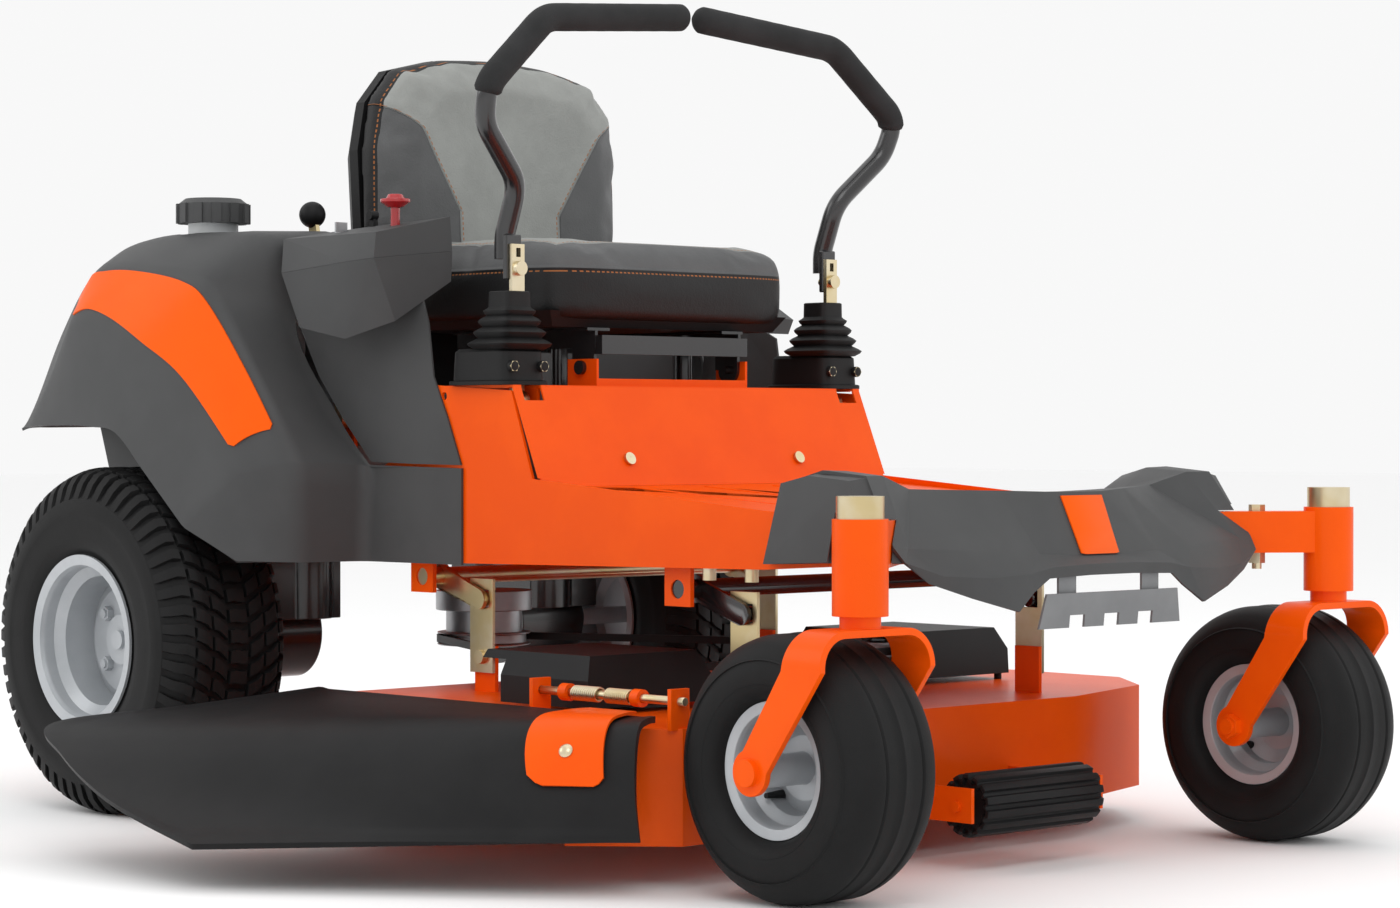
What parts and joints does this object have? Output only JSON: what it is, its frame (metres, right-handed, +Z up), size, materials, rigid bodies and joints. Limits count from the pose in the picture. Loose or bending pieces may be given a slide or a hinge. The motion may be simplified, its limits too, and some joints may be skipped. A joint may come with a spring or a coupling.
{
  "type": "zero turn mower",
  "caption": "Ride-on zero turn mower: frame on two drive wheels and two casters, seat, lap bars, fenders and a twin-blade side-discharge deck.",
  "frame": {"origin": "under the middle of the whole machine, on the floor plane", "axes": "+Z up, -Y is the front of the machine, -X is the operator's right and the chute side"},
  "size_m": [1.3716, 1.7, 1.0519],
  "materials": {
    "orange_paint": "satin orange powder coat",
    "body_plastic": "fine-grained dark grey moulding",
    "black_paint": "black powder coat",
    "black_plastic": "grained black moulding",
    "orange_plastic": "smooth orange insert",
    "zinc": "yellow zinc plate",
    "grey_plate": "grey paint",
    "silver_paint": "silver-grey paint",
    "steel": "bare steel",
    "cast_metal": "cast surface",
    "rubber_tread": "moulded rubber",
    "soft_rubber": "ribbed rubber",
    "foam_grip": "grained foam",
    "seat_vinyl": "embossed grey vinyl",
    "tank_plastic": "translucent white",
    "red_plastic": "glossy red"
  },
  "bodies": {
    "chassis": {"main_frame": "orange_paint", "front_panel": "orange_paint", "footplate": "orange_paint", "front_axle": "orange_paint", "front_cover": "body_plastic", "trim_panels": "orange_plastic", "step_plate": "grey_plate", "rear_fender_right": "body_plastic", "rear_fender_left": "body_plastic", "side_covers": "body_plastic", "console": "body_plastic", "console_lid": "body_plastic", "fuel_tank": "tank_plastic", "seat_hinge": "orange_paint", "engine_block": "cast_metal", "engine_shroud": "black_plastic", "muffler": "steel", "transaxle_right": "black_paint", "transaxle_left": "black_paint", "caps_and_bolts": "zinc", "boot_right": "soft_rubber", "boot_left": "soft_rubber"},
    "tank_cap": {"fuel_cap": "body_plastic"},
    "knob": {"pto_knob": "red_plastic"},
    "key": {"ignition_key": "steel"},
    "throttle": {"throttle_lever": "black_plastic"},
    "lift_lever": {"height_lever": "zinc"},
    "seat": {"seat_bracket": "black_paint", "seat_shell": "black_plastic", "seat_cushion": "seat_vinyl", "seat_backrest": "seat_vinyl"},
    "lever_right": {"lever_base_right": "zinc"},
    "lever_left": {"lever_base_left": "zinc"},
    "bar_right": {"lap_bar_right": "black_paint", "grip_right": "foam_grip"},
    "bar_left": {"lap_bar_left": "black_paint", "grip_left": "foam_grip"},
    "rear_wheel_right": {"rear_rim_right": "silver_paint", "rear_tyre_right": "rubber_tread"},
    "rear_wheel_left": {"rear_rim_left": "silver_paint", "rear_tyre_left": "rubber_tread"},
    "caster_right": {"caster_fork_right": "orange_paint"},
    "caster_left": {"caster_fork_left": "orange_paint"},
    "front_wheel_right": {"front_rim_right": "silver_paint", "front_tyre_right": "rubber_tread"},
    "front_wheel_left": {"front_rim_left": "silver_paint", "front_tyre_left": "rubber_tread"},
    "deck": {"deck_shell": "orange_paint", "chute_rod": "zinc", "belt_covers": "black_plastic", "spindle_housings": "cast_metal", "belt": "soft_rubber", "deck_hangers": "zinc"},
    "discharge_chute": {"chute": "black_plastic"},
    "blade_right": {"blade_spindle_right": "steel"},
    "blade_left": {"blade_spindle_left": "steel"},
    "clutch_pulley": {"clutch": "steel"},
    "roller": {"front_roller": "black_plastic"},
    "rear_lift": {"lift_shaft": "zinc"},
    "front_lift": {"front_lift_arms": "black_paint"}
  },
  "joints": [
    {"name": "rear_wheel_spin_right", "type": "hinge", "parent": "chassis", "child": "rear_wheel_right", "pos_m": [-0.28125, 0.52, 0.2285], "axis": [1, 0, 0], "continuous": true},
    {"name": "caster_swivel_right", "type": "hinge", "parent": "chassis", "child": "caster_right", "pos_m": [-0.25675, -0.783, 0.34], "axis": [0, 0, 1], "continuous": true},
    {"name": "front_wheel_spin_right", "type": "hinge", "parent": "caster_right", "child": "front_wheel_right", "pos_m": [-0.25675, -0.705, 0.145], "axis": [1, 0, 0], "continuous": true},
    {"name": "drive_lever_right", "type": "hinge", "parent": "chassis", "child": "lever_right", "pos_m": [-0.12125, -0.066, 0.54], "axis": [1, 0, 0], "range_deg": [-10, 12], "deforming": ["boot_right"]},
    {"name": "lap_bar_swing_right", "type": "hinge", "parent": "lever_right", "child": "bar_right", "pos_m": [-0.12125, -0.066, 0.705], "axis": [0, -1, 0], "range_deg": [0, 20]},
    {"name": "blade_spin_right", "type": "hinge", "parent": "deck", "child": "blade_right", "pos_m": [-0.10025, -0.24, 0.068], "axis": [0, 0, 1], "continuous": true},
    {"name": "rear_wheel_spin_left", "type": "hinge", "parent": "chassis", "child": "rear_wheel_left", "pos_m": [0.59075, 0.52, 0.2285], "axis": [1, 0, 0], "continuous": true},
    {"name": "caster_swivel_left", "type": "hinge", "parent": "chassis", "child": "caster_left", "pos_m": [0.56625, -0.783, 0.34], "axis": [0, 0, 1], "continuous": true},
    {"name": "front_wheel_spin_left", "type": "hinge", "parent": "caster_left", "child": "front_wheel_left", "pos_m": [0.56625, -0.705, 0.145], "axis": [1, 0, 0], "continuous": true},
    {"name": "drive_lever_left", "type": "hinge", "parent": "chassis", "child": "lever_left", "pos_m": [0.43075, -0.066, 0.54], "axis": [1, 0, 0], "range_deg": [-10, 12], "deforming": ["boot_left"]},
    {"name": "lap_bar_swing_left", "type": "hinge", "parent": "lever_left", "child": "bar_left", "pos_m": [0.43075, -0.066, 0.705], "axis": [0, 1, 0], "range_deg": [0, 20]},
    {"name": "blade_spin_left", "type": "hinge", "parent": "deck", "child": "blade_left", "pos_m": [0.40975, -0.18, 0.068], "axis": [0, 0, 1], "continuous": true},
    {"name": "seat_tilt", "type": "hinge", "parent": "chassis", "child": "seat", "pos_m": [0.15475, -0.025, 0.585], "axis": [1, 0, 0], "range_deg": [0, 35]},
    {"name": "deck_lift", "type": "slide", "parent": "chassis", "child": "deck", "axis": [0, 0, 1], "range_m": [0, 0.05472], "deforming": ["belt"]},
    {"name": "rear_lift_turn", "type": "hinge", "parent": "chassis", "child": "rear_lift", "pos_m": [0.15475, 0.105, 0.32], "axis": [-1, 0, 0], "range_deg": [0, 40.5]},
    {"name": "front_lift_turn", "type": "hinge", "parent": "chassis", "child": "front_lift", "pos_m": [0.15475, -0.37, 0.32], "axis": [-1, 0, 0], "range_deg": [0, 40.5]},
    {"name": "height_lever_turn", "type": "hinge", "parent": "chassis", "child": "lift_lever", "pos_m": [-0.12625, 0.288, 0.52], "axis": [-1, 0, 0], "range_deg": [0, 45.5]},
    {"name": "clutch_spin", "type": "hinge", "parent": "chassis", "child": "clutch_pulley", "pos_m": [0.15475, 0.33, 0.22], "axis": [0, 0, 1], "continuous": true},
    {"name": "chute_lift", "type": "hinge", "parent": "deck", "child": "discharge_chute", "pos_m": [-0.27525, -0.397, 0.206], "axis": [0, 1, 0], "range_deg": [0, 60]},
    {"name": "roller_spin", "type": "hinge", "parent": "deck", "child": "roller", "pos_m": [0.15475, -0.652, 0.076], "axis": [1, 0, 0], "continuous": true},
    {"name": "cap_turn", "type": "hinge", "parent": "chassis", "child": "tank_cap", "pos_m": [-0.20125, 0.464, 0.79], "axis": [0, 0, 1], "continuous": true},
    {"name": "pto_pull", "type": "slide", "parent": "chassis", "child": "knob", "axis": [0, 0, 1], "range_m": [0, 0.012]},
    {"name": "key_turn", "type": "hinge", "parent": "chassis", "child": "key", "pos_m": [-0.19725, 0.19, 0.748], "axis": [0, 0, 1], "range_deg": [0, 60]},
    {"name": "throttle_turn", "type": "hinge", "parent": "chassis", "child": "throttle", "pos_m": [-0.13725, 0.202, 0.748], "axis": [1, 0, 0], "range_deg": [-22, 22]}
  ],
  "couplings": [
    {"joint": "rear_lift_turn", "follows": "deck_lift", "rad_per_m": 12.758},
    {"joint": "front_lift_turn", "follows": "deck_lift", "rad_per_m": 12.758},
    {"joint": "height_lever_turn", "follows": "deck_lift", "rad_per_m": 14.352},
    {"joint": "blade_spin_right", "follows": "clutch_spin", "ratio": 1},
    {"joint": "blade_spin_left", "follows": "clutch_spin", "ratio": 1}
  ]
}
